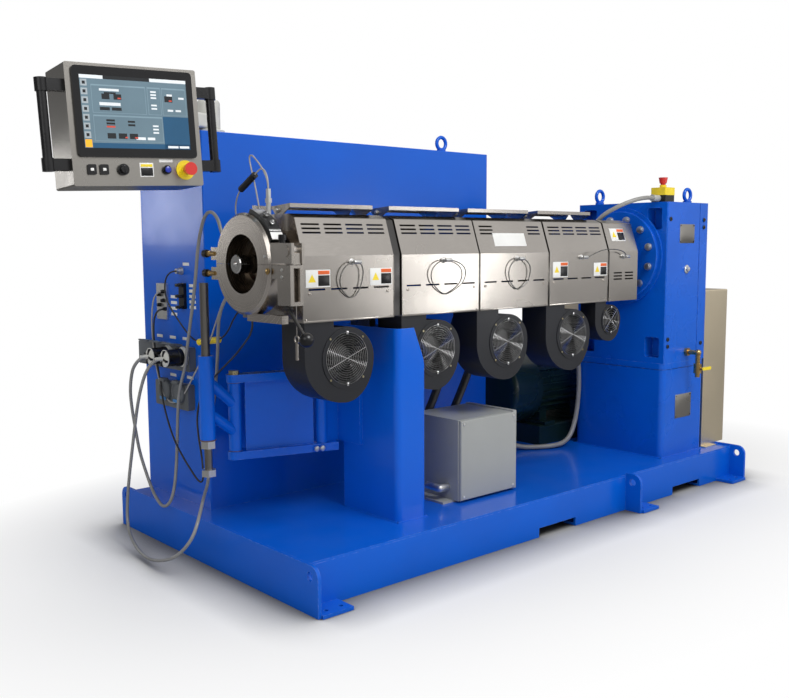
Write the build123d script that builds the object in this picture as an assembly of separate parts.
from build123d import *
import os
from math import atan2, cos, degrees, hypot, pi, radians, sin, sqrt, tan

# Single screw plastic extruder on a welded base, in millimetres, Z up.
# The origin is on the floor, at the centre of the foot bolt pattern.
# X runs from the die end to the gearbox, and the operator side is at -Y.

# Base frame
BASE_LENGTH = 2540.0
BASE_WIDTH = 1335.0
DECK_TOP = 152.0
DECK_THICK = 8.0
LUG_REACH = 75.0
BEAM_WALL = 10.0
BEAM_FLANGE = 60.0
END_PLATE = 12.0
END_RISE = 8.0
END_CORNER = 38.0
LUG_HOLE_R = 15.0
LUG_HOLE_EDGE = 41.0
LUG_HOLE_Z = 124.0
FORK_LENGTH = 225.0
FORK_HEIGHT = 36.0
FORK_PITCH = 922.0
FORK_FIRST = 1114.0
FOOT_LENGTH = 130.0
FOOT_OUT = 10.0
FOOT_THICK = 12.0
FOOT_HOLE_R = 7.0
FOOT_HOLE_END = 45.0
FOOT_HOLE_PITCH = 58.0
FOOT_HOLE_EDGE = 21.0
MID_LUG_FROM_END = 1676.0
MID_FOOT_LENGTH = 112.0

LEFT = -BASE_LENGTH / 2
FRONT = -BASE_WIDTH / 2
BEAM_FACE = BASE_WIDTH / 2 - LUG_REACH

# Barrel centre line
AXIS_FROM_FRONT = 388.0
AXIS_Z = 1067.0
AXIS_Y = FRONT + AXIS_FROM_FRONT

# Barrel, screw and gate
BARREL_R = 70.0
BARREL_BORE_R = 32.2
BARREL_FROM_END = 60.0
BARREL_LENGTH = 1876.0
BARREL_FLANGE_R = 118.0
BARREL_FLANGE_THICK = 40.0
HEATER_R = 100.0
HEATER_LENGTH = 300.0
SCREW_R = 31.75
SCREW_ROOT_R = 24.0
SCREW_OUT = 22.0
SCREW_TIP_LENGTH = 95.0
GATE_R = 164.0
GATE_THICK = 60.0
BAND_GAP = 0.3
BAND_THICK = 15.0
BAND_HALF = 76.0
BAND_TURN = 38.0
BAND_INSET = 3.0
GATE_MOUTH_R = 95.0
GATE_THROAT_R = 84.0
GATE_SPLIT = 1.0
GATE_BEVEL = 9.0
PROBE_FROM_END = 80.0
PROBE_FROM_FRONT = 345.0
PROBE_R = 8.0
PROBE_NUT_Z = 1276.0
PROBE_NUT_R = 8.2
PROBE_TOP = 1306.0
PROBE_LEAD_X = 4.0
PROBE_LEAD_Y = 7.0

# Barrel covers, from the die end
COVER_HALF = 178.0
COVER_BOTTOM = 880.0
COVER_CREASE = 1093.0
COVER_TOP = 1214.0
COVER_RIDGE = 1227.0
COVER_LEAN = 41.0
COVER_ROOF = 31.0
COVER_WALL = 3.0
COVER_BEND = 6.0
COVER_STARTS = [113.0, 531.0, 921.0, 1322.0]
COVER_LENGTHS = [380.0, 383.0, 391.0, 384.0]
FEED_COVER_START = 1717.0
FEED_COVER_LENGTH = 206.0
COVER_LIP = 15.0
BORE_CLEAR = 0.3
SLOT_HEIGHT = 6.0
UPPER_SLOT = 72.0
UPPER_SLOT_PITCH = 90.0
UPPER_SLOT_TOP = 1193.0
SLOT_ROW_PITCH = 13.5
LOWER_SLOT = 66.0
LOWER_SLOT_Z = 985.0
FEED_SLOT = 60.0
FEED_SLOT_PITCH = 82.0
FEED_SLOT_TOP = 1001.0

# Air deflectors above the covers
FLAP_LENGTH = 343.0
FLAP_DEPTH = 102.0
FLAP_FRONT_IN = 69.0
FLAP_TOP = 1260.0
FLAP_DROP = 7.0
FLAP_LIP = 13.0
FLAP_SHEET = 3.0
FLAP_TIP_IN = 135.0
FLAP_TIP_Z = 1216.0
STRAP_THICK = 4.0
STRAP_DEEP = 24.0

# Blowers below the covers
BLOWER_FACE = 216.0
BLOWER_DEPTH = 127.0
BLOWER_Z = 754.0
BLOWER_XS = [289.0, 702.0, 1079.0, 1478.0]
BLOWER_UP = 105.0
BLOWER_RIGHT = 118.0
BLOWER_DOWN = 148.0
BLOWER_LEFT = 168.0
BLOWER_NECK = 117.0
BLOWER_RING_R = 100.0
BLOWER_RING = 3.0
BLOWER_EYE_R = 84.0
BLOWER_EYE_DEEP = 60.0
BLOWER_MOTOR_R = 58.0
BLOWER_MOTOR = 95.0
GUARD_WIRE = 4.0
GUARD_RINGS = 5
FEED_BLOWER_X = 1738.0
FEED_BLOWER_Z = 800.0
FEED_BLOWER_SCALE = 0.62

# Barrel support and its clamp
SUPPORT_FROM_END = 500.0
SUPPORT_LENGTH = 140.0
SUPPORT_FRONT = 202.0
SUPPORT_DEPTH = 303.0
SUPPORT_TOP = 838.0
SUPPORT_BEVEL = 61.0
SUPPORT_BEVEL_DROP = 153.0
SUPPORT_CORNER = 22.0
SUPPORT_WALL = 5.0
BLOWER_ROOM = 6.0
CLAMP_THICK = 30.0
CLAMP_INSET = 5.0

# Gearbox
GEAR_FROM_END = 2050.0
GEAR_LENGTH = 335.0
GEAR_WIDTH = 487.0
GEAR_FOOT = 585.0
GEAR_TOP = 1310.0
GEAR_EDGE = 4.0
GEAR_POCKET_W = 74.0
GEAR_POCKET_TOP_H = 96.0
GEAR_POCKET_LOW_H = 92.0
GEAR_POCKET_DEEP = 62.0
GEAR_POCKET_EDGE = 26.0
GEAR_POCKET_SIDE = 29.0
GEAR_GROOVE_FROM = 262.0
GEAR_GROOVE = 5.0
FLANGE_R = 205.0
FLANGE_STEP_R = 222.0
FLANGE_THICK = 22.0
FLANGE_STEP = 9.0
FLANGE_BOLTS = 12
FLANGE_BOLT_CIRCLE = 170.0
BOLT_HEAD_R = 15.5
BOLT_HEAD = 13.0
HUB_R = 92.0
BARRIER_R = 110.0
BARRIER_LENGTH = 34.0
PEDESTAL_IN = 5.0
PEDESTAL_CORNER = 26.0
PEDESTAL_BAND = 26.0
PEDESTAL_GAP = 3.0

# Lifting eyes
EYE_R = 27.0
EYE_WIRE = 8.0
EYE_COLLAR_R = 20.0
EYE_COLLAR = 12.0

# Stop button box on the gearbox
STOP_BOX = 74.0
STOP_BOX_LOW = 30.0
STOP_BOX_HIGH = 34.0
STOP_FROM_FRONT = 200.0
STOP_BUTTON_R = 20.0
STOP_BUTTON = 26.0
STOP_STEM_R = 11.0
STOP_TRAVEL = 4.0
STOP_COLLAR_R = 15.0

# Oil drain valve
VALVE_FROM_END = 2228.0
VALVE_Z = 628.0
VALVE_NUT_R = 20.0
VALVE_PIPE_R = 11.0
VALVE_OUT = 62.0
VALVE_DROP = 112.0
VALVE_BODY_R = 18.0
LEVER_LENGTH = 62.0
LEVER_WIDE = 15.0
LEVER_THICK = 4.0

# Belt guard and motor
GUARD_FROM_END = 2400.0
GUARD_THICK = 198.0
GUARD_FRONT = 155.0
GUARD_BACK = 1040.0
GUARD_TOP = 905.0
GUARD_FOOT = 25.0
GUARD_SHEET = 4.0
MOTOR_FROM_END = 1865.0
MOTOR_LENGTH = 385.0
MOTOR_FROM_FRONT = 868.0
MOTOR_Z = 428.0
MOTOR_R = 152.0
MOTOR_FIN = 18.0
MOTOR_FIN_THICK = 5.0
MOTOR_FINS = 28
COWL_R = 176.0
COWL_LENGTH = 190.0
MOTOR_FOOT_W = 330.0
MOTOR_SHAFT_R = 24.0
MOTOR_BASE_HIGH = 94.0
MOTOR_BASE_DEPTH = 330.0

# Control cabinet
CABINET_TO_MOTOR = 95.0
CABINET_LENGTH = 1479.0
CABINET_FROM_END = MOTOR_FROM_END - COWL_LENGTH - CABINET_TO_MOTOR - CABINET_LENGTH
CABINET_FRONT = 797.0
CABINET_DEPTH = 503.0
CABINET_TOP = 1535.0
CABINET_EDGE = 4.0
CABINET_EYE_END = 235.0
CABINET_EYE_SIDE = 60.0
DOOR_THICK = 14.0
DOOR_MARGIN = 24.0

# Operator panel and its arm
PANEL_W = 410.0
PANEL_H = 356.0
PANEL_D = 165.0
PANEL_X = -300.0
PANEL_FRONT = 477.0
PANEL_Z = 1486.0
PANEL_YAW = -3.9
PANEL_LEAN = 2.2
PANEL_ROLL = 2.2
SCREEN_W = 374.0
SCREEN_H = 262.0
SCREEN_THICK = 8.0
SCREEN_UP = 37.0
CONTROL_DROP = 130.0
HANDLE_R = 14.0
HANDLE_OUT = 74.0
HANDLE_SPAN = 262.0
HANDLE_ARM = 34.0
ELBOW_X = -240.0
ELBOW_FROM_FRONT = 712.0
ELBOW_R = 36.0
ELBOW_Z = 1545.0
ELBOW_H = 62.0
MAST_FROM_END = 182.0
MAST_FROM_FRONT = 880.0
MAST_R = 42.0
MAST_FOOT_R = 58.0
MAST_FOOT = 12.0
MAST_TOP = 1657.0
PANEL_TUBE_W = 52.0
PIVOT_GAP = 0.5

# Die support arm, fixed bracket first
ARM_PIVOT_X = 417.0
ARM_PIVOT_Y = 530.0
POST_PIVOT_X = 104.0
POST_PIVOT_Y = 620.0
POST_X = -17.0
POST_Y = 600.0
ARM_LOW = 376.0
ARM_HIGH = 678.0
ARM_PLATE = 28.0
ARM_WIDE = 56.0
ARM_TAIL = 56.0
ARM_WEB = 10.0
ARM_WEB_GAP = 14.0
ARM_TUBE_R = 20.5
ARM_PIN_R = 11.0
ARM_NUT_R = 19.0
ARM_NUT = 13.0
PINCH_BOLTS = [12.0, 34.0]
PINCH_HEAD_R = 9.0
PINCH_HEAD = 8.0
BRACKET_PLATE = 12.0
BRACKET_DEPTH = 110.0
BRACKET_WEB = 12.0
CARRIER_TUBE_R = 23.0
SLEEVE_R = 26.0
SLEEVE_LOW = 463.0
SLEEVE_TOP = 754.0
BRACE_R = 19.0
BRACE_AT_SLEEVE = [671.0, 559.0]
BRACE_AT_TUBE = [569.0, 472.0]
POST_R = 15.0
POST_TOP = 1002.0
POST_ROD_R = 13.5
POST_NUT_R = 27.0
POST_NUT = 28.0
POST_HEAD = 23.0
POST_BOTTOM = 337.0
POST_TRAVEL = 55.0
POST_SPARE = 8.0

# Small electrical box
BOX_FROM_END = 838.0
BOX_LENGTH = 312.0
BOX_FRONT = 228.0
BOX_DEPTH = 264.0
BOX_FOOT = 8.0
BOX_HIGH = 310.0
BOX_FLANGE = 54.0
BOX_LID = 14.0

# Sockets on the cabinet's end, with the heater plugs
SOCKET_OUT = 28.0
SOCKET_HIGH_SPAN = (880.0, 1288.0)
SOCKET_LOW_SPAN = (895.0, 1153.0)
TERMINAL_SPAN = (1078.0, 1160.0)
BREAKER_SPAN = (936.0, 975.0)
BREAKER_RISE = (892.0, 988.0)
LEAD_SOCKET = (965.0, 1033.0)
LEAD_SOCKET_R = 9.0
SOCKET_HIGH_Z = 706.0
SOCKET_HIGH = 90.0
SOCKET_LOW_Z = 561.0
SOCKET_LOW = 96.0
TERMINAL_OUT = 8.0
TERMINAL_Z = 914.0
TERMINAL_HIGH = 138.0
BREAKER_OUT = 12.0
LEAD_SOCKET_OUT = 22.0
PLUG_R = 31.0
PLUG_LENGTH = 78.0
PLUGS = [(1036.0, 714.0), (919.0, 716.0)]

# Cables, conduits and hoses
HEATER_CABLE_R = 6.0
SENSOR_LEAD_R = 3.0
BRACKET_LEAD_R = 3.5
PROBE_LEAD_R = 2.5
STOP_CONDUIT_R = 9.0
MOTOR_CONDUIT_R = 11.0
HOSE_R = 17.0
LEAD_PLUG_R = 12.0
PROBE_PLUG = [(72.0, 408.0, 1354.0), (72.0, 494.0, 1311.0)]
PROBE_PLUG_R = 11.0
LEAD_PLUG = [(86.0, 824.0, 777.0), (89.5, 692.0, 795.0)]

os.makedirs("parts", exist_ok=True)
NODES = {}


def keep(name, solid):
    """Keep one node's shape and write its file."""
    NODES[name] = solid
    export_step(solid, os.path.join("parts", name + ".step"))


def block(x0, x1, y0, y1, z0, z1):
    """A plain box between two corners."""
    return Pos((x0 + x1) / 2, (y0 + y1) / 2, (z0 + z1) / 2) * Box(x1 - x0, y1 - y0, z1 - z0)


def rod(axis, centre, radius, start, end):
    """A cylinder along X, Y or Z; centre gives the other two coordinates in order."""
    length = end - start
    middle = (start + end) / 2
    a, b = centre
    if axis == "x":
        return Pos(middle, a, b) * Rot(0, 90, 0) * Cylinder(radius, length)
    if axis == "y":
        return Pos(a, middle, b) * Rot(90, 0, 0) * Cylinder(radius, length)
    return Pos(a, b, middle) * Cylinder(radius, length)


def hexagon(axis, centre, across, start, end):
    """A hexagonal head or nut along X or Z, given by its circumscribed radius."""
    sketch = RegularPolygon(across, 6)
    a, b = centre
    if axis == "x":
        return extrude(Plane((start, a, b), x_dir=(0, 1, 0), z_dir=(1, 0, 0)) * sketch, amount=end - start)
    return extrude(Plane((a, b, start), x_dir=(1, 0, 0), z_dir=(0, 0, 1)) * sketch, amount=end - start)


def side_plate(points, x0, thick):
    """A plate whose outline is given in Y and Z, from x0 towards +X."""
    outline = make_face(Polyline(*points, close=True))
    return extrude(Plane((x0, 0, 0), x_dir=(0, 1, 0), z_dir=(1, 0, 0)) * outline, amount=thick)


def front_plate(points, y0, thick):
    """A plate whose outline is given in X and Z, from y0 towards +Y."""
    outline = make_face(Polyline(*points, close=True))
    return extrude(Plane((0, y0, 0), x_dir=(1, 0, 0), z_dir=(0, -1, 0)) * outline, amount=-thick)


def bar_between(start, end, radius):
    """A round bar between two points."""
    path = Line(start, end)
    return sweep(Plane(path @ 0, z_dir=path % 0) * Circle(radius), path=path)


def edges_along(solid, axis):
    """The straight edges of a solid that run along an axis."""
    return solid.edges().filter_by(axis)


# Base frame

def build_base():
    deck = block(LEFT + END_PLATE, -LEFT - END_PLATE, -BEAM_FACE, BEAM_FACE, DECK_TOP - DECK_THICK, DECK_TOP)
    keep("base_deck", deck)

    beam_top = DECK_TOP - DECK_THICK
    x0, x1 = LEFT + END_PLATE, -LEFT - END_PLATE
    section = [(-BEAM_FACE, 0), (-BEAM_FACE, beam_top), (-BEAM_FACE + BEAM_FLANGE, beam_top),
               (-BEAM_FACE + BEAM_FLANGE, beam_top - BEAM_WALL), (-BEAM_FACE + BEAM_WALL, beam_top - BEAM_WALL),
               (-BEAM_FACE + BEAM_WALL, BEAM_WALL), (-BEAM_FACE + BEAM_FLANGE, BEAM_WALL),
               (-BEAM_FACE + BEAM_FLANGE, 0)]
    beam = side_plate(section, x0, x1 - x0)
    for start in (FORK_FIRST, FORK_FIRST + FORK_PITCH):
        beam -= block(LEFT + start, LEFT + start + FORK_LENGTH, -BEAM_FACE - 1,
                      -BEAM_FACE + BEAM_FLANGE + 1, -1, FORK_HEIGHT)
    keep("base_beams", Compound(children=[beam.solid(), mirror(beam, about=Plane.XZ).solid()]))

    plates = []
    top = DECK_TOP + END_RISE
    for x in (LEFT, -LEFT - END_PLATE):
        plate = block(x, x + END_PLATE, -BASE_WIDTH / 2, BASE_WIDTH / 2, 0, top)
        corners = edges_along(plate, Axis.X).sort_by(Axis.Z)[-2:]
        plate = fillet(corners, END_CORNER)
        for y in (FRONT + LUG_HOLE_EDGE, -FRONT - LUG_HOLE_EDGE):
            plate -= rod("x", (y, LUG_HOLE_Z), LUG_HOLE_R, x - 1, x + END_PLATE + 1)
        plates.append(plate.solid())
    keep("end_plates", Compound(children=plates))

    feet = []
    outer, inner = FRONT - FOOT_OUT, -BEAM_FACE
    for start, direction in ((LEFT + END_PLATE, 1), (-LEFT - END_PLATE, -1)):
        end = LEFT + FOOT_LENGTH if direction > 0 else -LEFT - FOOT_LENGTH
        foot = block(min(start, end), max(start, end), outer, inner, 0, FOOT_THICK)
        for step in (0, FOOT_HOLE_PITCH):
            hole_x = direction * (LEFT + FOOT_HOLE_END + step)
            foot -= rod("z", (hole_x, FRONT + FOOT_HOLE_EDGE), FOOT_HOLE_R, -1, FOOT_THICK + 1)
        feet.append(foot)
    lug_x = LEFT + MID_LUG_FROM_END
    lug = block(lug_x, lug_x + END_PLATE, FRONT, inner, 0, top)
    lug_edges = edges_along(lug, Axis.X).filter_by_position(Axis.Z, top - 1, top + 1)
    lug = fillet(lug_edges.sort_by(Axis.Y)[:1], END_CORNER)
    lug -= rod("x", (FRONT + LUG_HOLE_EDGE, LUG_HOLE_Z), LUG_HOLE_R, lug_x - 1, lug_x + END_PLATE + 1)
    foot_x = lug_x + END_PLATE
    foot = block(foot_x, foot_x + MID_FOOT_LENGTH, outer, inner, 0, FOOT_THICK)
    for step in (FOOT_HOLE_END - END_PLATE, FOOT_HOLE_END - END_PLATE + FOOT_HOLE_PITCH):
        foot -= rod("z", (foot_x + step, FRONT + FOOT_HOLE_EDGE), FOOT_HOLE_R, -1, FOOT_THICK + 1)
    feet.append(lug + foot)
    front = [foot.solid() for foot in feet]
    back = [mirror(foot, about=Plane.XZ).solid() for foot in feet]
    keep("foot_plates", Compound(children=front + back))


# Barrel support, barrel clamp and bracket for the die support arm

def cover_outline(inset=0.0, top=COVER_RIDGE):
    """The covers' outline in Y and Z, drawn about the barrel's centre line."""
    half = COVER_HALF
    left = [(-half, COVER_BOTTOM), (-half, COVER_CREASE), (-half + COVER_LEAN, COVER_TOP),
            (-half + COVER_LEAN + COVER_ROOF, top)]
    right = [(-y, z) for y, z in reversed(left)]
    face = make_face(Polyline(*[(AXIS_Y + y, z) for y, z in left + right], close=True))
    bends = face.vertices().filter_by_position(Axis.Y, COVER_CREASE - 1, COVER_TOP + 1)
    face = fillet(bends, COVER_BEND)
    if inset:
        face = offset(face, amount=-inset, kind=Kind.INTERSECTION)
    return face


def cover_bar(face, x0, length):
    """A bar of the given cross-section along X."""
    return extrude(Plane((x0, 0, 0), x_dir=(0, 1, 0), z_dir=(1, 0, 0)) * face, amount=length)


def build_supports():
    x0 = LEFT + SUPPORT_FROM_END
    x1 = x0 + SUPPORT_LENGTH
    y0 = FRONT + SUPPORT_FRONT
    outline = [(x0, DECK_TOP), (x1, DECK_TOP), (x1, SUPPORT_TOP - SUPPORT_BEVEL_DROP),
               (x1 - SUPPORT_BEVEL, SUPPORT_TOP), (x0, SUPPORT_TOP)]
    support = front_plate(outline, y0, SUPPORT_DEPTH)
    uprights = edges_along(support, Axis.Z).filter_by_position(Axis.Y, y0 - 1, y0 + 1)
    support = fillet(uprights, SUPPORT_CORNER)
    back_face = y0 + SUPPORT_WALL
    blower_back = FRONT + BLOWER_FACE + BLOWER_DEPTH + BLOWER_ROOM
    blower_low = BLOWER_Z - BLOWER_DOWN - BLOWER_ROOM
    pocket = block(x0 + SUPPORT_WALL, x1 + 1, back_face, blower_back, blower_low, SUPPORT_TOP + 1)
    corner = edges_along(pocket, Axis.Z).filter_by_position(Axis.X, x0, x0 + SUPPORT_WALL + 1).sort_by(Axis.Y)[0]
    support -= fillet(corner, SUPPORT_CORNER - SUPPORT_WALL)

    # bracket that carries the pivot tube of the die support arm
    px, py = LEFT + ARM_PIVOT_X, FRONT + ARM_PIVOT_Y
    low, high = ARM_LOW + ARM_PLATE + PIVOT_GAP, ARM_HIGH - ARM_PLATE - PIVOT_GAP
    rear = y0 + SUPPORT_DEPTH
    support += block(x0 - BRACKET_PLATE, x0, rear - BRACKET_DEPTH, rear, low, high)
    support += block(x0 - BRACKET_PLATE, x0 + BRACKET_PLATE, rear, py + BRACKET_WEB, low, high)
    bracket = block(px, x0, py - BRACKET_WEB / 2, py + BRACKET_WEB / 2, low, high)
    bracket += rod("z", (px, py), ARM_TUBE_R, low, high)
    bracket -= rod("z", (px, py), ARM_PIN_R + PIVOT_GAP, low - 1, high + 1)
    keep("barrel_support", support + bracket)

    face = cover_outline(CLAMP_INSET)
    clamp_x = COVER_STARTS[0] + COVER_LENGTHS[0] + 4
    clamp = cover_bar(face, LEFT + clamp_x, CLAMP_THICK)
    clamp += block(x0, LEFT + clamp_x + CLAMP_THICK, blower_back, AXIS_Y + 70, SUPPORT_TOP, COVER_BOTTOM + 20)
    clamp -= rod("x", (AXIS_Y, AXIS_Z), BARREL_R, LEFT + clamp_x - 5, LEFT + clamp_x + CLAMP_THICK + 5)
    keep("barrel_clamp", clamp)


# Gearbox, its pedestal and flange

def build_gearbox():
    x0, x1 = LEFT + GEAR_FROM_END, LEFT + GEAR_FROM_END + GEAR_LENGTH
    y0, y1 = AXIS_Y - GEAR_WIDTH / 2, AXIS_Y + GEAR_WIDTH / 2
    pedestal = block(x0 - PEDESTAL_IN, x1, y0, y1, DECK_TOP, GEAR_FOOT - PEDESTAL_BAND - PEDESTAL_GAP)
    pedestal = fillet(edges_along(pedestal, Axis.Z), PEDESTAL_CORNER)
    band_z = GEAR_FOOT - PEDESTAL_BAND - PEDESTAL_GAP
    pedestal += block(x0 + 8, x1 - 8, y0 + 8, y1 - 8, band_z, band_z + PEDESTAL_GAP)
    band = block(x0 - PEDESTAL_IN, x1, y0, y1, band_z + PEDESTAL_GAP, GEAR_FOOT)
    pedestal += fillet(edges_along(band, Axis.Z), PEDESTAL_CORNER)
    keep("gearbox_pedestal", pedestal)

    box = block(x0, x1, y0, y1, GEAR_FOOT, GEAR_TOP)
    box = chamfer(edges_along(box, Axis.Z), GEAR_EDGE)
    heights = ((GEAR_TOP - GEAR_POCKET_EDGE - GEAR_POCKET_TOP_H, GEAR_TOP - GEAR_POCKET_EDGE),
               (GEAR_FOOT + GEAR_POCKET_EDGE, GEAR_FOOT + GEAR_POCKET_EDGE + GEAR_POCKET_LOW_H))
    for side in (-1, 1):
        for low, high in heights:
            inner = AXIS_Y + side * (GEAR_WIDTH / 2 - GEAR_POCKET_SIDE - GEAR_POCKET_W)
            outer = AXIS_Y + side * (GEAR_WIDTH / 2 - GEAR_POCKET_SIDE)
            pocket = block(x0 - 1, x0 + GEAR_POCKET_DEEP, min(inner, outer), max(inner, outer), low, high)
            box -= fillet(edges_along(pocket, Axis.X), 9)
    for y in (y0, y1 - GEAR_GROOVE):
        box -= block(x0 + GEAR_GROOVE_FROM, x0 + GEAR_GROOVE_FROM + GEAR_GROOVE, y - 1, y + GEAR_GROOVE + 1,
                     GEAR_FOOT - 1, GEAR_TOP + 1)
    keep("gearbox_housing", box)

    ring = rod("x", (AXIS_Y, AXIS_Z), FLANGE_STEP_R, x0 - FLANGE_STEP, x0)
    ring += rod("x", (AXIS_Y, AXIS_Z), FLANGE_R, x0 - FLANGE_THICK, x0 - FLANGE_STEP)
    ring = fillet(ring.edges().filter_by(GeomType.CIRCLE).group_by(Axis.X)[0], 3)
    ring += rod("x", (AXIS_Y, AXIS_Z), HUB_R, x0 - FLANGE_THICK - 40, x0 - FLANGE_THICK)
    for i in range(FLANGE_BOLTS):
        angle = 2 * pi * (i + 0.5) / FLANGE_BOLTS
        centre = (AXIS_Y + FLANGE_BOLT_CIRCLE * cos(angle), AXIS_Z + FLANGE_BOLT_CIRCLE * sin(angle))
        ring += hexagon("x", centre, BOLT_HEAD_R, x0 - FLANGE_THICK - BOLT_HEAD, x0 - FLANGE_THICK)
    keep("gearbox_flange", ring)


def lifting_eye(x, y, z):
    """A ring bolt standing on a flat top, its ring in the XZ plane."""
    eye = Pos(x, y, z + EYE_COLLAR + EYE_R) * Rot(90, 0, 0) * Torus(EYE_R, EYE_WIRE)
    return eye + rod("z", (x, y), EYE_COLLAR_R, z, z + EYE_COLLAR)


def build_top_pieces():
    x0, x1 = LEFT + GEAR_FROM_END, LEFT + GEAR_FROM_END + GEAR_LENGTH
    cabinet_x0, cabinet_x1 = LEFT + CABINET_FROM_END, LEFT + CABINET_FROM_END + CABINET_LENGTH
    cabinet_y0 = FRONT + CABINET_FRONT
    eyes = [lifting_eye(x0 + 55, AXIS_Y + 165, GEAR_TOP), lifting_eye(x1 - 55, AXIS_Y - 165, GEAR_TOP)]
    eyes.append(lifting_eye(cabinet_x1 - CABINET_EYE_END, cabinet_y0 + CABINET_EYE_SIDE, CABINET_TOP))
    eyes.append(lifting_eye(cabinet_x0 + CABINET_EYE_END, cabinet_y0 + CABINET_DEPTH - CABINET_EYE_SIDE, CABINET_TOP))
    keep("lifting_eyes", Compound(children=[eye.solid() for eye in eyes]))

    sx, sy = x0 + 42, FRONT + STOP_FROM_FRONT
    half = STOP_BOX / 2
    low = block(sx - half, sx + half, sy - half, sy + half, GEAR_TOP, GEAR_TOP + STOP_BOX_LOW)
    low = fillet(edges_along(low, Axis.Z), 5)
    high = block(sx - half - 1, sx + half + 1, sy - half - 1, sy + half + 1,
                 GEAR_TOP + STOP_BOX_LOW, GEAR_TOP + STOP_BOX_LOW + STOP_BOX_HIGH)
    high = fillet(edges_along(high, Axis.Z), 5)
    top = GEAR_TOP + STOP_BOX_LOW + STOP_BOX_HIGH
    collar = rod("z", (sx, sy), STOP_COLLAR_R, top, top + 12)
    collar -= rod("z", (sx, sy), STOP_STEM_R + 0.5, top - 14, top + 13)
    gland = rod("x", (sy, GEAR_TOP + 17), 15, sx - half - 46, sx - half)
    box = low + high - rod("z", (sx, sy), STOP_STEM_R + 0.5, top - 14, top + 1) + collar + gland
    keep("stop_box", box)
    button = rod("z", (sx, sy), STOP_STEM_R, top - 4, top + 12 + STOP_TRAVEL + 3)
    button += Pos(sx, sy, top + 12 + STOP_TRAVEL + 3 + STOP_BUTTON / 2) * Cone(
        STOP_BUTTON_R - 5, STOP_BUTTON_R, STOP_BUTTON)
    keep("gearbox_stop_button", button)


def build_valve():
    x, y, z = LEFT + VALVE_FROM_END, AXIS_Y - GEAR_WIDTH / 2, VALVE_Z
    out = y - VALVE_OUT
    seat = Plane((x, y, z), x_dir=(1, 0, 0), z_dir=(0, -1, 0))
    valve = seat * extrude(RegularPolygon(VALVE_NUT_R, 6), amount=14)
    valve += rod("y", (x, z), VALVE_PIPE_R, out, y)
    valve += Pos(x, out, z) * Sphere(VALVE_PIPE_R + 4)
    valve += rod("z", (x, out), VALVE_PIPE_R, z - VALVE_DROP, z)
    valve += rod("z", (x, out), VALVE_BODY_R, z - VALVE_DROP + 18, z - VALVE_DROP + 62)
    stem_z = z - VALVE_DROP + 40
    valve += rod("y", (x, stem_z), 6, out - VALVE_BODY_R - 10, out)
    keep("drain_valve", valve)
    face = out - VALVE_BODY_R - 10
    lever = block(x - 10, x + LEVER_LENGTH, face - LEVER_THICK - PIVOT_GAP, face - PIVOT_GAP,
                  stem_z - LEVER_WIDE / 2, stem_z + LEVER_WIDE / 2)
    lever = fillet(edges_along(lever, Axis.Y), 6)
    keep("valve_lever", lever)


# Motor, belt guard and electrical box

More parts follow.
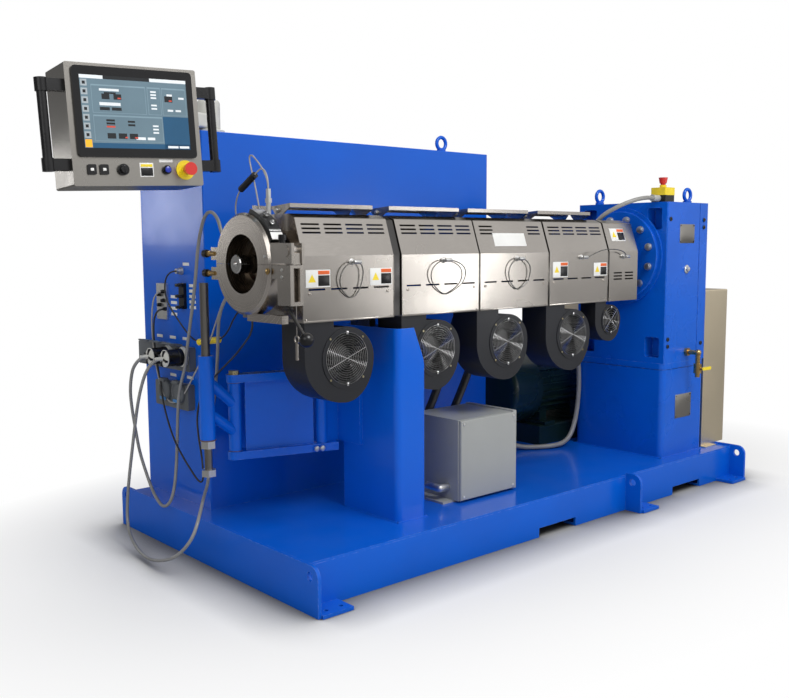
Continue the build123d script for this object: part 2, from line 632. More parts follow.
def build_drive():
    gx = LEFT + GUARD_FROM_END
    y0, y1 = FRONT + GUARD_FRONT, FRONT + GUARD_BACK
    guard = block(gx, gx + GUARD_THICK, y0, y1, DECK_TOP + END_RISE, GUARD_TOP)
    guard = fillet(guard.edges().filter_by_position(Axis.Z, GUARD_TOP - 1, GUARD_TOP + 1), 5)
    guard += block(gx, -LEFT - END_PLATE, y0, y1, DECK_TOP, DECK_TOP + END_RISE)
    guard += block(gx, gx + GUARD_THICK / 2, y0 - GUARD_FOOT, y0, DECK_TOP, DECK_TOP + GUARD_SHEET)
    keep("belt_guard", guard)

    x0, y, z = LEFT + MOTOR_FROM_END, FRONT + MOTOR_FROM_FRONT, MOTOR_Z
    body = rod("x", (y, z), MOTOR_R, x0, x0 + MOTOR_LENGTH)
    fin_length = MOTOR_LENGTH - 50
    fin = block(x0 + 5, x0 + 5 + fin_length, -MOTOR_FIN_THICK / 2, MOTOR_FIN_THICK / 2,
                MOTOR_R - 4, MOTOR_R + MOTOR_FIN)
    for i in range(MOTOR_FINS):
        angle = 360 * (i + 0.5) / MOTOR_FINS
        if abs(angle - 180) < 42:
            continue
        body += Pos(0, y, z) * Rot(-angle, 0, 0) * fin
    cowl = rod("x", (y, z), COWL_R, x0 - COWL_LENGTH, x0 + 8)
    cowl = fillet(cowl.edges().group_by(Axis.X)[0], 22)
    cowl -= rod("x", (y, z), COWL_R - 38, x0 - COWL_LENGTH - 1, x0 - COWL_LENGTH + 14)
    body += cowl
    foot_z = DECK_TOP + MOTOR_BASE_HIGH
    half = MOTOR_FOOT_W / 2
    for x in (x0 + 35, x0 + MOTOR_LENGTH - 110):
        foot = block(x, x + 75, y - half, y + half, foot_z, foot_z + 16)
        body += foot + block(x + 12, x + 62, y - half + 45, y + half - 45, foot_z, z)
    body += block(x0 + 120, x0 + 260, y - 90, y + 90, z + 60, z + MOTOR_R + 55)
    body += rod("x", (y, z), MOTOR_SHAFT_R, x0 + MOTOR_LENGTH, LEFT + GUARD_FROM_END)
    keep("drive_motor", body)

    depth = MOTOR_BASE_DEPTH / 2
    base = block(x0 - 5, x0 + MOTOR_LENGTH, y - depth, y + depth, DECK_TOP, foot_z)
    base = chamfer(edges_along(base, Axis.X).sort_by(Axis.Z)[-2:], 6)
    keep("motor_base", base)

    bx, by = LEFT + BOX_FROM_END, FRONT + BOX_FRONT
    bz = DECK_TOP + BOX_FOOT
    box = block(bx, bx + BOX_LENGTH, by + BOX_LID, by + BOX_DEPTH, bz, bz + BOX_HIGH)
    lid = block(bx + 3, bx + BOX_LENGTH - 3, by, by + BOX_LID, bz + 2, bz + BOX_HIGH - 2)
    box += chamfer(lid.edges().group_by(Axis.Y)[0], 3)
    box += block(bx + BOX_LENGTH - 16, bx + BOX_LENGTH + 4, by + 4, by + BOX_DEPTH, bz, bz + BOX_HIGH + 4)
    box += block(bx - BOX_FLANGE, bx + BOX_LENGTH, by + 40, by + BOX_DEPTH - 40, DECK_TOP, bz)
    elbow_z = bz + 46
    box += rod("x", (by + 70, elbow_z), 15, bx - 40, bx)
    box += Pos(bx - 40, by + 70, elbow_z) * Sphere(15)
    box += rod("y", (bx - 40, elbow_z), 15, by + 70, by + 140)
    keep("transformer_box", box)


# Control cabinet

def build_cabinet():
    x0, x1 = LEFT + CABINET_FROM_END, LEFT + CABINET_FROM_END + CABINET_LENGTH
    y0, y1 = FRONT + CABINET_FRONT, FRONT + CABINET_FRONT + CABINET_DEPTH
    cabinet = block(x0, x1, y0, y1 - DOOR_THICK, DECK_TOP, CABINET_TOP)
    top_edges = edges_along(cabinet, Axis.X).sort_by(Axis.Z)[-2:]
    cabinet = fillet(edges_along(cabinet, Axis.Z) + top_edges, CABINET_EDGE)
    keep("control_cabinet", cabinet)
    doors = []
    middle = (x0 + x1) / 2
    for start, end in ((x0 + DOOR_MARGIN, middle - 1.5), (middle + 1.5, x1 - DOOR_MARGIN)):
        door = block(start, end, y1 - DOOR_THICK, y1, DECK_TOP + DOOR_MARGIN, CABINET_TOP - DOOR_MARGIN)
        handle_x = end - 45 if start < middle - 100 else start + 45
        door = fillet(door.edges().group_by(Axis.Y)[-1], 3)
        door += block(handle_x - 12, handle_x + 12, y1, y1 + 22, 860, 1010)
        doors.append(door.solid())
    keep("cabinet_doors", Compound(children=doors))

    sockets = []
    rows = ((*SOCKET_HIGH_SPAN, SOCKET_HIGH_Z, SOCKET_HIGH), (*SOCKET_LOW_SPAN, SOCKET_LOW_Z, SOCKET_LOW))
    for y_start, y_end, z_mid, high in rows:
        row = block(x0 - SOCKET_OUT, x0, FRONT + y_start, FRONT + y_end, z_mid - high / 2, z_mid + high / 2)
        sockets.append(fillet(edges_along(row, Axis.X), 6))
    half = TERMINAL_HIGH / 2
    for y_span, z_span, out in ((TERMINAL_SPAN, (TERMINAL_Z - half, TERMINAL_Z + half), TERMINAL_OUT),
                                (BREAKER_SPAN, BREAKER_RISE, BREAKER_OUT)):
        y_start, y_end = (FRONT + y for y in y_span)
        sockets.append(block(x0 - out, x0, y_start, y_end, *z_span))
    socket_y, socket_z = LEAD_SOCKET
    sockets.append(rod("x", (FRONT + socket_y, socket_z), LEAD_SOCKET_R, x0 - LEAD_SOCKET_OUT, x0))
    keep("cabinet_sockets", Compound(children=[piece.solid() for piece in sockets]))


# Barrel, screw and gate

def build_barrel():
    x0 = LEFT + BARREL_FROM_END
    x1 = x0 + BARREL_LENGTH
    barrel = rod("x", (AXIS_Y, AXIS_Z), BARREL_R, x0, x1)
    flange = rod("x", (AXIS_Y, AXIS_Z), BARREL_FLANGE_R, x0, x0 + BARREL_FLANGE_THICK)
    barrel += fillet(flange.edges().filter_by(GeomType.CIRCLE), 3)
    for start, length in zip(COVER_STARTS, COVER_LENGTHS):
        middle = LEFT + start + length / 2
        barrel += rod("x", (AXIS_Y, AXIS_Z), HEATER_R, middle - HEATER_LENGTH / 2, middle + HEATER_LENGTH / 2)
    flange_face = LEFT + GEAR_FROM_END - FLANGE_THICK - 40
    barrel += rod("x", (AXIS_Y, AXIS_Z), BARRIER_R, flange_face - BARRIER_LENGTH, flange_face)
    barrel += rod("x", (AXIS_Y, AXIS_Z), BARREL_R, x1 - 10, flange_face)
    barrel -= rod("x", (AXIS_Y, AXIS_Z), BARREL_BORE_R, x0 - 1, x1 - 40)
    barrel -= rod("x", (AXIS_Y, AXIS_Z), 60, x0 - 1, x0 + 12)
    keep("barrel", barrel)

    tip = LEFT - SCREW_OUT
    screw = rod("x", (AXIS_Y, AXIS_Z), SCREW_R - 1.5, tip, tip + SCREW_TIP_LENGTH - 12)
    screw = chamfer(screw.edges().group_by(Axis.X)[0], 3)
    screw += rod("x", (AXIS_Y, AXIS_Z), SCREW_ROOT_R, tip + SCREW_TIP_LENGTH - 12, x1 - 60)
    for x in (tip + SCREW_TIP_LENGTH, x1 - 90):
        screw += rod("x", (AXIS_Y, AXIS_Z), SCREW_R, x, x + 20)
    point = Cone(9, 3, 8, align=(Align.CENTER, Align.CENTER, Align.MIN))
    screw += Pos(tip, AXIS_Y, AXIS_Z) * Rot(0, -90, 0) * point
    keep("screw", screw)


def build_gate():
    x0, x1 = LEFT, LEFT + GATE_THICK
    for name, sign in (("gate_upper", 1), ("gate_lower", -1)):
        ring = rod("x", (AXIS_Y, AXIS_Z), GATE_R, x0, x1)
        ring = chamfer(ring.edges().group_by(Axis.X)[0], GATE_BEVEL)
        z_low, z_high = (AXIS_Z + 12, AXIS_Z + 54) if sign > 0 else (AXIS_Z - 54, AXIS_Z - 12)
        ear_y = AXIS_Y + GATE_R + 38
        ring += block(x0 + 8, x1 - 8, AXIS_Y + 120, ear_y, z_low, z_high)
        ring -= block(x0 + 20, x1 - 20, AXIS_Y + GATE_R - 2, ear_y + 1, z_low + 11, z_high - 11)
        mouth = Rot(0, 90, 0) * Cone(GATE_MOUTH_R, GATE_THROAT_R, GATE_THICK + 0.2)
        ring -= Pos((x0 + x1) / 2, AXIS_Y, AXIS_Z) * mouth
        near = AXIS_Z + sign * GATE_SPLIT / 2
        far = AXIS_Z + sign * 400
        ring = ring & block(x0 - 1, x1 + 1, AXIS_Y - 400, AXIS_Y + 400, min(near, far), max(near, far))
        z = (z_low + z_high) / 2
        ring += rod("y", ((x0 + x1) / 2, z), 8, AXIS_Y + GATE_R - 6, ear_y + 8)
        ring += rod("y", ((x0 + x1) / 2, z), 14, ear_y + 0.5, ear_y + 24)
        if sign < 0:
            rest = block(x0 + 28, x0 + 52, FRONT + 205, FRONT + 404, 882, 908)
            ring += rest - rod("x", (AXIS_Y, AXIS_Z), GATE_R - 4, x0 - 1, x1 + 1)
        keep(name, ring)

    # clamp blocks on the operator side, with the slotted clamp body below
    y_in, y_out = AXIS_Y - GATE_R + 6, AXIS_Y - GATE_R - 108
    upper = block(x0 + 6, x0 + 54, y_out, y_in, AXIS_Z + 4, AXIS_Z + 66)
    upper -= block(x0 + 16, x0 + 44, y_out - 1, y_out + 62, AXIS_Z + 3, AXIS_Z + 67)
    upper += rod("x", (y_out + 30, AXIS_Z + 42), 17, x0 + 4, x0 + 56)
    gate_edge = rod("x", (AXIS_Y, AXIS_Z), GATE_R, x0 - 1, x1 + 1)
    upper += block(x0 + 16.5, x0 + 43.5, y_out + 6, y_out + 54, AXIS_Z + 1, AXIS_Z + 36)
    lower = block(x0 + 6, x0 + 54, y_out + 8, y_in, AXIS_Z - 44, AXIS_Z - 1)
    lower += block(x0 + 6, x0 + 54, y_out + 8, y_out + 78, AXIS_Z - 124, AXIS_Z - 40)
    lower -= block(x0 + 18, x0 + 42, y_out - 1, y_out + 50, AXIS_Z - 112, AXIS_Z - 10)
    lower += rod("z", (x0 + 30, y_out + 32), 8, AXIS_Z - 113, AXIS_Z + 2)
    eye_y = y_out + 52
    lower += block(x0 + 54, x0 + 60, eye_y - 9, eye_y + 9, AXIS_Z - 62, AXIS_Z - 20)
    lower += rod("z", (x0 + 57, eye_y), 1.5, AXIS_Z - 222, AXIS_Z - 60)
    hook = rod("x", (eye_y, AXIS_Z - 232), 13, x0 + 55, x0 + 59)
    hook -= rod("x", (eye_y, AXIS_Z - 232), 9, x0 + 54, x0 + 60)
    lower += hook + rod("z", (x0 + 57, eye_y), 5, AXIS_Z - 296, AXIS_Z - 243)
    halves = [*(upper - gate_edge).solids(), *(lower - gate_edge).solids()]
    keep("gate_clamp", Compound(children=halves))

    # clamp handle below the slotted body
    pivot_y, pivot_z = y_out + 50, AXIS_Z - 124 - 8 - BORE_CLEAR
    handle_x = x0 + 26
    arm_y, arm_z = -92.0, -92.0
    handle = rod("x", (pivot_y, pivot_z), 8, handle_x - 12, handle_x + 12)
    handle += bar_between((handle_x, pivot_y, pivot_z), (handle_x, pivot_y + arm_y, pivot_z + arm_z), 6)
    handle += Pos(handle_x, pivot_y + arm_y, pivot_z + arm_z) * Sphere(22.5)
    keep("gate_handle", handle)

    band_x0, band_x1 = x0 + GATE_BEVEL + BAND_INSET, x1 - BAND_INSET
    heater = rod("x", (AXIS_Y, AXIS_Z), GATE_R + BAND_GAP + BAND_THICK, band_x0, band_x1)
    heater -= rod("x", (AXIS_Y, AXIS_Z), GATE_R + BAND_GAP, x0 - 1, x1 + 1)
    sector = block(x0, x1, -BAND_HALF, BAND_HALF, 0, GATE_R * 2)
    heater &= Pos(0, AXIS_Y, AXIS_Z) * Rot(BAND_TURN, 0, 0) * sector
    keep("gate_heater", heater)

    probe_x, probe_y = x0 + PROBE_FROM_END, FRONT + PROBE_FROM_FRONT
    probe = rod("z", (probe_x, probe_y), PROBE_R, AXIS_Z + 90, PROBE_NUT_Z)
    probe += hexagon("z", (probe_x, probe_y), PROBE_R + 4, PROBE_NUT_Z - 14, PROBE_NUT_Z)
    for side in (-1, 1):
        centre = (probe_x + side * PROBE_LEAD_X, probe_y + side * PROBE_LEAD_Y)
        probe += hexagon("z", centre, PROBE_NUT_R, PROBE_NUT_Z, PROBE_TOP)
    probe -= rod("x", (AXIS_Y, AXIS_Z), BARREL_FLANGE_R + BORE_CLEAR, x0, x0 + 200)
    keep("melt_probe", probe)


# Covers and air deflectors

def upper_slot_band(x0, z, length):
    """One slot through the leaning panels, on both sides of the barrel."""
    return block(x0, x0 + length, AXIS_Y - COVER_HALF - 5, AXIS_Y - COVER_HALF + COVER_LEAN + 12,
                 z - SLOT_HEIGHT / 2, z + SLOT_HEIGHT / 2)


def both_sides(cut):
    """A cut and its mirror image about the barrel's vertical plane."""
    return [cut, mirror(cut, about=Plane((0, AXIS_Y, 0), x_dir=(1, 0, 0), z_dir=(0, 1, 0)))]


def cover_shell(x0, length):
    """A folded cover: outer sheet, ends round the barrel, open below and along the ridge."""
    shell = cover_bar(cover_outline(), x0, length)
    shell -= cover_bar(cover_outline(COVER_WALL), x0 + COVER_WALL, length - 2 * COVER_WALL)
    half = COVER_HALF - COVER_LIP
    roof = COVER_HALF - COVER_LEAN - COVER_ROOF
    shell -= block(x0 + COVER_WALL, x0 + length - COVER_WALL, AXIS_Y - half, AXIS_Y + half,
                   COVER_BOTTOM - 1, COVER_BOTTOM + COVER_WALL + 1)
    shell -= block(x0 + COVER_WALL, x0 + length - COVER_WALL, AXIS_Y - roof, AXIS_Y + roof,
                   COVER_RIDGE - COVER_WALL - 1, COVER_RIDGE + 1)
    shell -= rod("x", (AXIS_Y, AXIS_Z), BARREL_R + BORE_CLEAR, x0 - 1, x0 + length + 1)
    return shell


def build_covers():
    for i, (start, length) in enumerate(zip(COVER_STARTS, COVER_LENGTHS)):
        x0 = LEFT + start
        shell = cover_shell(x0, length)
        middle = x0 + length / 2
        for k in range(4):
            slot_x = middle + (k - 1.5) * UPPER_SLOT_PITCH - UPPER_SLOT / 2
            if i == 2 and k in (1, 2):
                continue
            for row in range(3):
                band_z = UPPER_SLOT_TOP - row * SLOT_ROW_PITCH
                for cut in both_sides(upper_slot_band(slot_x, band_z, UPPER_SLOT)):
                    shell -= cut
        for k in range(4):
            slot_x = middle + (k - 1.5) * (length - 20) / 4 - LOWER_SLOT / 2
            cut = block(slot_x, slot_x + LOWER_SLOT, AXIS_Y - COVER_HALF - 1, AXIS_Y - COVER_HALF + COVER_WALL + 1,
                        LOWER_SLOT_Z - SLOT_HEIGHT / 2, LOWER_SLOT_Z + SLOT_HEIGHT / 2)
            for piece in both_sides(cut):
                shell -= piece
        roof = COVER_HALF - COVER_LEAN - COVER_ROOF
        strap_x = x0 + 3 + FLAP_LENGTH
        shell += block(strap_x, strap_x + STRAP_THICK, AXIS_Y - roof - 6, AXIS_Y + roof + 6,
                       COVER_RIDGE - STRAP_DEEP, COVER_RIDGE - COVER_WALL)
        keep("cover_%d" % (i + 1), shell)

    x0 = LEFT + FEED_COVER_START
    shell = cover_shell(x0, FEED_COVER_LENGTH)
    for k in range(2):
        slot_x = x0 + FEED_COVER_LENGTH / 2 + (k - 0.5) * FEED_SLOT_PITCH - FEED_SLOT / 2
        for row in range(3):
            z = FEED_SLOT_TOP - row * SLOT_ROW_PITCH
            cut = block(slot_x, slot_x + FEED_SLOT, AXIS_Y - COVER_HALF - 1, AXIS_Y - COVER_HALF + COVER_WALL + 1,
                        z - SLOT_HEIGHT / 2, z + SLOT_HEIGHT / 2)
            for piece in both_sides(cut):
                shell -= piece
    keep("feed_cover", shell)


def build_deflectors():
    flaps = []
    for start in COVER_STARTS:
        x0 = LEFT + start + COVER_WALL
        x1 = x0 + FLAP_LENGTH
        front = AXIS_Y - COVER_HALF + FLAP_FRONT_IN
        back = front + FLAP_DEPTH
        tip = AXIS_Y - COVER_HALF + FLAP_TIP_IN
        sheet = side_plate([(front, FLAP_TOP - FLAP_LIP), (front, FLAP_TOP), (back, FLAP_TOP - FLAP_DROP),
                            (back, FLAP_TOP - FLAP_DROP - FLAP_SHEET), (front + FLAP_SHEET, FLAP_TOP - FLAP_SHEET),
                            (front + FLAP_SHEET, FLAP_TOP - FLAP_LIP)], x0, x1 - x0)
        triangle = [(front, FLAP_TOP), (back, FLAP_TOP - FLAP_DROP), (back, FLAP_TOP - FLAP_DROP - 6),
                    (tip + 8, FLAP_TIP_Z), (tip - 8, FLAP_TIP_Z), (front, FLAP_TOP - FLAP_LIP)]
        for x in (x0, x1 - FLAP_SHEET):
            sheet += side_plate(triangle, x, FLAP_SHEET)
        for piece in both_sides(sheet):
            flaps.append(piece.solid())
    keep("air_deflectors", Compound(children=flaps))


# Blowers

def blower_shape(x, z, scale):
    """A scroll housing with its neck up to the cover, its inlet face on the operator side."""
    y0 = FRONT + BLOWER_FACE
    up, right, down, left = (v * scale for v in (BLOWER_UP, BLOWER_RIGHT, BLOWER_DOWN, BLOWER_LEFT))
    depth = BLOWER_DEPTH * scale
    neck = BLOWER_NECK * scale
    outline = make_face([
        EllipticalCenterArc((x, z), right, up, 0, arc_size=90),
        Line((x, z + up), (x - left + neck, z + up)),
        Line((x - left + neck, z + up), (x - left + neck, COVER_BOTTOM)),
        Line((x - left + neck, COVER_BOTTOM), (x - left, COVER_BOTTOM)),
        Line((x - left, COVER_BOTTOM), (x - left, z)),
        EllipticalCenterArc((x, z), left, down, 180, arc_size=90),
        EllipticalCenterArc((x, z), right, down, 270, arc_size=90),
    ])
    plane = Plane((0, y0, 0), x_dir=(1, 0, 0), z_dir=(0, -1, 0))
    housing = extrude(plane * outline, amount=-depth)
    housing += rod("y", (x, z), BLOWER_RING_R * scale, y0 - BLOWER_RING, y0)
    housing -= rod("y", (x, z), BLOWER_EYE_R * scale, y0 - BLOWER_RING - 1, y0 + BLOWER_EYE_DEEP * scale)
    housing += rod("y", (x, z), 34 * scale, y0 + 26 * scale, y0 + BLOWER_EYE_DEEP * scale + 1)
    housing += rod("y", (x, z), BLOWER_MOTOR_R * scale, y0 + depth, y0 + depth + BLOWER_MOTOR * scale)
    return housing


def finger_guard(x, z, scale):
    """A guard of flat wire rings and four bars in front of a blower's inlet."""
    y1 = FRONT + BLOWER_FACE - BLOWER_RING
    y0 = y1 - GUARD_WIRE
    outer = (BLOWER_EYE_R + 3) * scale
    guard = None
    for i in range(GUARD_RINGS):
        radius = outer * (i + 1) / GUARD_RINGS
        ring = rod("y", (x, z), radius, y0, y1) - rod("y", (x, z), radius - GUARD_WIRE, y0 - 1, y1 + 1)
        guard = ring if guard is None else guard + ring
    for angle in (0, 90):
        bar = Box(2 * outer - 1, GUARD_WIRE, GUARD_WIRE)
        guard += Pos(x, (y0 + y1) / 2, z) * Rot(0, angle + 20, 0) * bar
    return guard


def build_blowers():
    guards = []
    for i, start in enumerate(BLOWER_XS):
        keep("blower_%d" % (i + 1), blower_shape(LEFT + start, BLOWER_Z, 1.0))
        guards.append(finger_guard(LEFT + start, BLOWER_Z, 1.0).solid())
    keep("feed_blower", blower_shape(LEFT + FEED_BLOWER_X, FEED_BLOWER_Z, FEED_BLOWER_SCALE))
    guards.append(finger_guard(LEFT + FEED_BLOWER_X, FEED_BLOWER_Z, FEED_BLOWER_SCALE).solid())
    keep("blower_guards", Compound(children=guards))


# Die support arm

def build_arm():
    ax, ay = LEFT + ARM_PIVOT_X, FRONT + ARM_PIVOT_Y
    bx, by = LEFT + POST_PIVOT_X, FRONT + POST_PIVOT_Y
    cx, cy = LEFT + POST_X, FRONT + POST_Y
    length = hypot(bx - ax, by - ay)
    turn = degrees(atan2(by - ay, bx - ax))

    def along(shape):
        return Pos(ax, ay, 0) * Rot(0, 0, turn) * shape

    half = ARM_WIDE / 2
    arm = None
    for z in (ARM_LOW, ARM_HIGH - ARM_PLATE):
        plate = block(-ARM_TAIL, length, -half, half, z, z + ARM_PLATE)
        plate += rod("z", (length, 0), half, z, z + ARM_PLATE)
        arm = plate if arm is None else arm + plate
    arm += block(ARM_TUBE_R + ARM_WEB_GAP, length - CARRIER_TUBE_R - ARM_WEB_GAP, -ARM_WEB / 2, ARM_WEB / 2,
                 ARM_LOW, ARM_HIGH)
    for x in (0, length):
        arm += rod("z", (x, 0), ARM_PIN_R, ARM_LOW, ARM_HIGH)
    arm += hexagon("z", (length, 0), ARM_NUT_R, ARM_HIGH, ARM_HIGH + ARM_NUT)
    for x in PINCH_BOLTS:
        arm += rod("y", (x, ARM_LOW + ARM_PLATE / 2), PINCH_HEAD_R, half, half + PINCH_HEAD)
    keep("support_arm", along(arm))

    low, high = ARM_LOW + ARM_PLATE + PIVOT_GAP, ARM_HIGH - ARM_PLATE - PIVOT_GAP
    carrier = rod("z", (bx, by), CARRIER_TUBE_R, low, high)
    carrier += rod("z", (cx, cy), SLEEVE_R, SLEEVE_LOW, SLEEVE_TOP)
    for sleeve_z, tube_z in zip(BRACE_AT_SLEEVE, BRACE_AT_TUBE):
        carrier += bar_between((bx, by, tube_z), (cx, cy, sleeve_z), BRACE_R)
    carrier -= rod("z", (bx, by), ARM_PIN_R + PIVOT_GAP, low - 50, high + 50)
    carrier += hexagon("z", (cx, cy), POST_NUT_R, SLEEVE_LOW - POST_NUT, SLEEVE_LOW)
    carrier -= rod("z", (cx, cy), POST_R + PIVOT_GAP, SLEEVE_LOW, SLEEVE_TOP + 60)
    carrier -= rod("z", (cx, cy), POST_ROD_R + PIVOT_GAP, SLEEVE_LOW - POST_NUT - 1, SLEEVE_LOW + 1)
    keep("post_carrier", carrier)

    step = SLEEVE_LOW + POST_TRAVEL + POST_SPARE
    post = rod("z", (cx, cy), POST_R, step, POST_TOP)
    post += rod("z", (cx, cy), POST_ROD_R, POST_BOTTOM, step)
    post += hexagon("z", (cx, cy), POST_NUT_R, POST_BOTTOM, POST_BOTTOM + POST_HEAD)
    keep("support_post", post)


# Operator panel

def panel_place():
    """The panel's own frame: X across, Y into the box, Z up, at the centre of its front."""
    return (Pos(LEFT + PANEL_X, FRONT + PANEL_FRONT, PANEL_Z) * Rot(0, 0, PANEL_YAW)
            * Rot(-PANEL_LEAN, 0, 0) * Rot(0, -PANEL_ROLL, 0))


def build_panel():
    place = panel_place()
    mx, my = LEFT + MAST_FROM_END, FRONT + MAST_FROM_FRONT
    ex, ey = LEFT + ELBOW_X, FRONT + ELBOW_FROM_FRONT
    foot = rod("z", (mx, my), MAST_FOOT_R, CABINET_TOP, CABINET_TOP + MAST_FOOT)
    foot = fillet(foot.edges().group_by(Axis.Z)[-1], 4)
    foot += rod("z", (mx, my), 20, CABINET_TOP + MAST_FOOT, MAST_TOP - 30)
    keep("panel_mast", foot)

    low = CABINET_TOP + MAST_FOOT + 1
    knuckle = rod("z", (mx, my), MAST_R, low, MAST_TOP)
    knuckle = fillet(knuckle.edges().group_by(Axis.Z)[-1], 16)
    reach = hypot(ex - mx, ey - my)
    turn = degrees(atan2(ey - my, ex - mx))
    half = PANEL_TUBE_W / 2
    tube = block(0, reach, -half, half, ELBOW_Z + 5, ELBOW_Z + ELBOW_H - 5)
    tube = fillet(edges_along(tube, Axis.X), 8)
    elbow = rod("z", (reach, 0), ELBOW_R, ELBOW_Z, ELBOW_Z + ELBOW_H)
    elbow += rod("z", (reach, 0), 14, ELBOW_Z - 70, ELBOW_Z)
    arm = knuckle + Pos(mx, my, 0) * Rot(0, 0, turn) * (tube + elbow)
    arm -= rod("z", (mx, my), 20 + PIVOT_GAP, CABINET_TOP, MAST_TOP - 29)
    keep("panel_arm", arm)

    box = block(-PANEL_W / 2, PANEL_W / 2, 0, PANEL_D, -PANEL_H / 2, PANEL_H / 2)
    box = fillet(edges_along(box, Axis.Y), 6)
    box = place * box
    neck = rod("z", (ex, ey), ELBOW_R, ELBOW_Z - 76, ELBOW_Z - PIVOT_GAP)
    neck += block(ex - 30, ex + 30, FRONT + PANEL_FRONT + PANEL_D - 20, ey, ELBOW_Z - 74, ELBOW_Z - 4)
    neck -= rod("z", (ex, ey), 14 + PIVOT_GAP, ELBOW_Z - 71, ELBOW_Z + 1)
    keep("panel_box", box + neck)

    screen = block(-SCREEN_W / 2, SCREEN_W / 2, -SCREEN_THICK, 0,
                   SCREEN_UP - SCREEN_H / 2, SCREEN_UP + SCREEN_H / 2)
    screen = fillet(edges_along(screen, Axis.Y), 12)
    keep("panel_screen", place * screen)

    handles = []
    for side in (-1, 1):
        x_face = side * PANEL_W / 2
        x_bar = x_face + side * (HANDLE_OUT - HANDLE_R)
        handle = rod("z", (x_bar, 30), HANDLE_R, -HANDLE_SPAN / 2, HANDLE_SPAN / 2)
        for z in (-HANDLE_SPAN / 2, HANDLE_SPAN / 2 - HANDLE_ARM):
            end = block(min(x_face, x_bar), max(x_face, x_bar), 30 - 13, 30 + 13, z, z + HANDLE_ARM)
            handle += end + rod("z", (x_bar, 30), HANDLE_R + 4, z - 2, z + HANDLE_ARM + 2)
        handles.append((place * handle).solid())
    keep("panel_handles", Compound(children=handles))

    row = -CONTROL_DROP
    controls = []
    for x in (-150, -113):
        port = block(x - 13, x + 13, -6, 0, row - 15, row + 15)
        controls.append(fillet(edges_along(port, Axis.Y), 4))
    controls.append(rod("y", (-55, row), 17, -9, 0))
    controls.append(rod("y", (84, row), 14, -7, 0) + rod("y", (84, row), 9, -12, -6))
    stop_x = 146
    ring = rod("y", (stop_x, row), 30, -3, 0) + rod("y", (stop_x, row), STOP_COLLAR_R, -12, -2)
    ring -= rod("y", (stop_x, row), STOP_STEM_R + 0.5, -13, -1)
    controls.append(ring)
    keep("panel_controls", Compound(children=[(place * piece).solid() for piece in controls]))
    reach = 12 + STOP_TRAVEL + 3
    button = rod("y", (stop_x, row), STOP_STEM_R, -reach, -6)
    button += Pos(stop_x, -reach - STOP_BUTTON / 2, row) * Rot(90, 0, 0) * Cone(
        STOP_BUTTON_R - 4, STOP_BUTTON_R, STOP_BUTTON)
    keep("panel_stop_button", place * button)


# Conduits and cables

def tube_along(points, radius, label):
    """A round tube along straight runs joined by arcs as large as the runs allow."""
    route = [Vector(*p) for p in points]
    runs = [(b - a).length for a, b in zip(route, route[1:])]
    radii = []
    for i in range(1, len(route) - 1):
        turn = radians((route[i] - route[i - 1]).get_angle(route[i + 1] - route[i]))
        radii.append(0.45 * min(runs[i - 1], runs[i]) / tan(turn / 2))
    path = FilletPolyline(*route, radius=radii)
    tube = sweep(Plane(path @ 0, z_dir=path % 0) * Circle(radius), path=path)
    expected = pi * radius ** 2 * path.length
    print("%-16s dia %5.1f length %6.0f runs %3.0f-%3.0f smallest arc %5.1f volume ratio %.4f" % (
        label, 2 * radius, path.length, min(runs), max(runs), min(radii), tube.volume / expected))
    return tube


def from_corner(points):
    """Route points are given from the base's front left corner at the floor."""
    return [(LEFT + x, FRONT + y, z) for x, y, z in points]


STOP_CONDUIT = [(2009, 200, 1327), (1968, 200, 1327), (1912, 214, 1319), (1852, 256, 1293),
                (1812, 310, 1256), (1799, 350, 1214), (1799, 378, 1172), (1800, 388, 1137)]
MOTOR_CONDUIT = [(1640, 797, 214), (1640, 769, 214), (1650, 738, 204), (1677, 714, 182), (1714, 693, 168),
                 (1768, 654, 165), (1838, 616, 166), (1902, 601, 170), (1950, 599, 190), (1984, 600, 228),
                 (2010, 602, 286), (2024, 602, 356), (2030, 601, 430), (2027, 600, 500), (2017, 598, 566),
                 (2001, 598, 626), (1990, 599, 674), (1994, 600, 712), (2018, 600, 737), (2050, 600, 737)]
HOSES = [[(1092, 428, 1000), (1092, 446, 930), (1090, 505, 830), (1082, 540, 700), (1058, 556, 590),
          (1022, 562, 508), (984, 562, 440), (954, 560, 384), (934, 548, 344), (930, 520, 322),
          (930, 492, 322)],
         [(1236, 428, 1000), (1238, 448, 930), (1246, 505, 830), (1248, 544, 720), (1232, 558, 620),
          (1190, 562, 532), (1146, 562, 460), (1108, 560, 398), (1085, 549, 346), (1080, 520, 322),
          (1080, 492, 322)]]

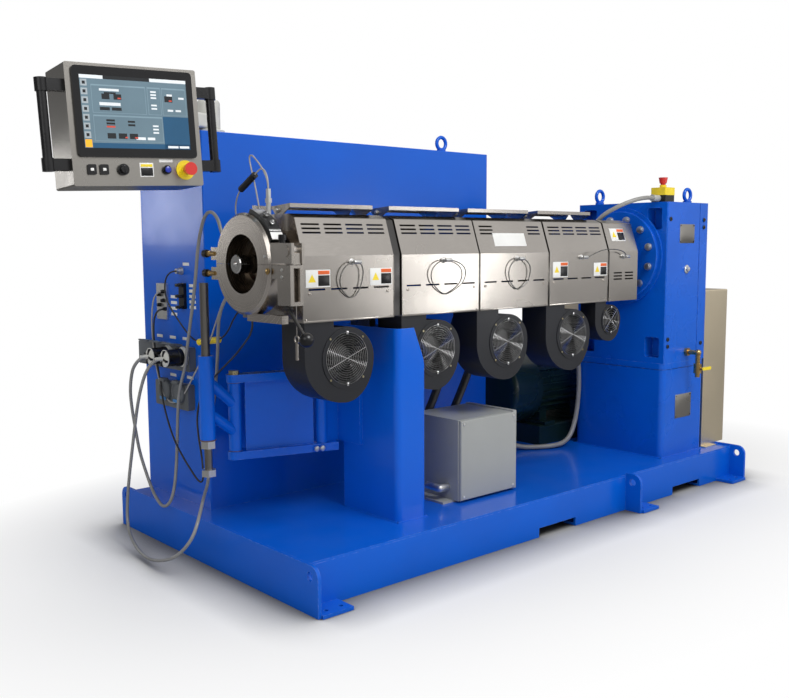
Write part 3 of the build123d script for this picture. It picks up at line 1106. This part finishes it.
CABLE_A = [(113, 548, 1110), (87, 548, 1110), (66, 556, 1121), (52, 570, 1141), (47, 586, 1176),
           (47, 604, 1218), (45, 644, 1246), (45, 692, 1232), (46, 742, 1136), (54, 784, 994),
           (60, 836, 855), (60, 863, 770), (59, 874, 716), (57, 889, 668), (55, 912, 622),
           (54, 932, 570), (52, 940, 499), (44, 936, 394),
           (24, 912, 300), (2, 890, 232), (-16, 884, 190), (-28, 902, 166), (-32, 936, 166),
           (-34, 990, 204), (-38, 1036, 275), (-44, 1072, 350), (-50, 1086, 434), (-58, 1089, 500),
           (-66, 1084, 560), (-71, 1072, 604), (-71, 1060, 644), (-68, 1050, 674), (-53, 1040, 701),
           (-31, 1036, 714), (-5, 1036, 714)]
CABLE_B = [(-5, 919, 716), (-30, 919, 716), (-52, 924, 704), (-68, 938, 678), (-77, 960, 630),
           (-82, 990, 556), (-84, 1020, 457), (-88, 1042, 362), (-94, 1060, 267), (-100, 1070, 178),
           (-108, 1062, 108), (-120, 1024, 62), (-132, 956, 32), (-142, 880, 18), (-149, 800, 18),
           (-150, 720, 34), (-145, 648, 58), (-132, 590, 96), (-110, 556, 148), (-80, 572, 194),
           (-42, 614, 228), (2, 672, 248), (52, 736, 262), (74, 756, 308), (74, 750, 384), (74, 738, 450),
           (82, 737, 525), (90, 730, 598), (86, 706, 673), (72, 672, 752), (60, 646, 826), (53, 624, 880),
           (50, 598, 920), (54, 572, 952), (68, 555, 976), (88, 547, 987), (113, 547, 987)]
SENSOR_C = [(93, 1100, 952), (75, 1100, 952), (61, 1105, 941), (55, 1115, 918), (53, 1124, 876),
            (52, 1126, 826), (51, 1121, 762), (51, 1107, 690), (55, 1090, 616), (60, 1062, 556),
            (65, 1012, 528), (68, 954, 548), (69, 912, 580), (69, 880, 613), (68, 843, 651),
            (68, 806, 688), (67, 756, 742), (65, 710, 792), (65, 672, 850), (65, 644, 894), (66, 620, 930),
            (69, 592, 962), (75, 566, 992), (84, 553, 1009), (97, 546, 1016), (113, 546, 1016)]
SENSOR_D = [(93, 1086, 886), (73, 1086, 886), (57, 1093, 876), (51, 1102, 852), (50, 1110, 812),
            (51, 1108, 752), (54, 1096, 680), (54, 1076, 606), (46, 1047, 548), (36, 1000, 486),
            (27, 934, 412), (30, 872, 352), (36, 816, 304), (40, 784, 278), (42, 760, 272), (42, 746, 288),
            (36, 734, 326), (44, 756, 376), (62, 806, 424), (75, 840, 492), (80, 826, 560), (76, 768, 616),
            (69, 706, 656), (62, 650, 686), (60, 596, 718), (58, 538, 752), (55, 490, 784), (50, 446, 814),
            (45, 418, 831), (42, 403, 847), (42, 396, 864), (42, 396, 882)]
YELLOW_LEAD = [(79, 965, 1033), (66, 965, 1033), (55, 971, 1028), (47, 984, 1015), (45, 998, 984),
               (48, 1002, 944), (55, 984, 902), (64, 950, 862), (77, 906, 812), (83, 862, 784),
               (86, 820, 777), (88, 758, 787), (90, 690, 795), (89, 650, 812), (86, 610, 842),
               (81, 584, 868), (80, 562, 885), (80, 553, 895), (87, 545, 903), (99, 540, 908),
               (113, 540, 908)]
PROBE_LEADS = [[(84, 352, 1306), (84, 352, 1324), (84, 360, 1344), (84, 384, 1376), (84, 418, 1404),
                (85, 440, 1418), (85, 456, 1421), (85, 460, 1409), (85, 454, 1388), (86, 441, 1350),
                (87, 428, 1310), (88, 419, 1274), (88, 411, 1246), (88, 403, 1212), (88, 402, 1180)],
               [(76, 338, 1306), (76, 338, 1324), (76, 344, 1346), (76, 357, 1366), (75, 375, 1373),
                (73, 392, 1365), (72, 409, 1355), (72, 426, 1345), (72, 456, 1330), (72, 494, 1312),
                (73, 518, 1293), (76, 536, 1266), (78, 541, 1236), (80, 533, 1207), (87, 523, 1191),
                (98, 515, 1183), (113, 515, 1183)]]


def build_conduits():
    stop = tube_along(from_corner(STOP_CONDUIT), STOP_CONDUIT_R, "stop_conduit")
    feed_start = LEFT + FEED_COVER_START
    stop -= rod("x", (AXIS_Y, AXIS_Z), BARREL_R, feed_start, feed_start + FEED_COVER_LENGTH)
    conduits = [stop, tube_along(from_corner(MOTOR_CONDUIT), MOTOR_CONDUIT_R, "motor_conduit")]
    for i, route in enumerate(HOSES):
        hose = tube_along(from_corner(route), HOSE_R, "hose_%d" % (i + 1))
        conduits.append(hose - rod("x", (AXIS_Y, AXIS_Z), HEATER_R + BORE_CLEAR, LEFT, -LEFT))
    keep("conduits", Compound(children=[piece.solid() for piece in conduits]))


def build_cables():
    keep("heater_cable_a", tube_along(from_corner(CABLE_A), HEATER_CABLE_R, "heater_cable_a"))
    keep("heater_cable_b", tube_along(from_corner(CABLE_B), HEATER_CABLE_R, "heater_cable_b"))
    keep("sensor_lead_c", tube_along(from_corner(SENSOR_C), SENSOR_LEAD_R, "sensor_lead_c"))
    keep("sensor_lead_d", tube_along(from_corner(SENSOR_D), BRACKET_LEAD_R, "sensor_lead_d"))
    yellow_lead = tube_along(from_corner(YELLOW_LEAD), SENSOR_LEAD_R, "yellow_plug_lead")
    keep("yellow_plug_lead", yellow_lead)
    probe_leads = []
    for i, route in enumerate(PROBE_LEADS):
        lead = tube_along(from_corner(route), PROBE_LEAD_R, "probe_lead_%d" % (i + 1))
        lead -= rod("x", (AXIS_Y, AXIS_Z), BARREL_FLANGE_R + BORE_CLEAR, LEFT, LEFT + CABINET_FROM_END)
        keep("probe_lead_%d" % (i + 1), lead)
        probe_leads.append(lead)

    plugs = []
    socket_face = LEFT + CABINET_FROM_END - SOCKET_OUT
    for y, z in PLUGS:
        plug = rod("x", (FRONT + y, z), PLUG_R, socket_face - PLUG_LENGTH, socket_face)
        plugs.append(chamfer(plug.edges().group_by(Axis.X)[0], 4))
    connectors = ((LEAD_PLUG, LEAD_PLUG_R, yellow_lead), (PROBE_PLUG, PROBE_PLUG_R, probe_leads[1]))
    for ends, radius, lead in connectors:
        start, end = from_corner(ends)
        plugs.append(bar_between(start, end, radius) - lead)
    keep("cable_plugs", Compound(children=[plug.solid() for plug in plugs]))


build_base()
build_supports()
build_gearbox()
build_top_pieces()
build_valve()
build_drive()
build_cabinet()
build_barrel()
build_gate()
build_covers()
build_deflectors()
build_blowers()
build_arm()
build_panel()
build_conduits()
build_cables()
print(len(NODES), "nodes")
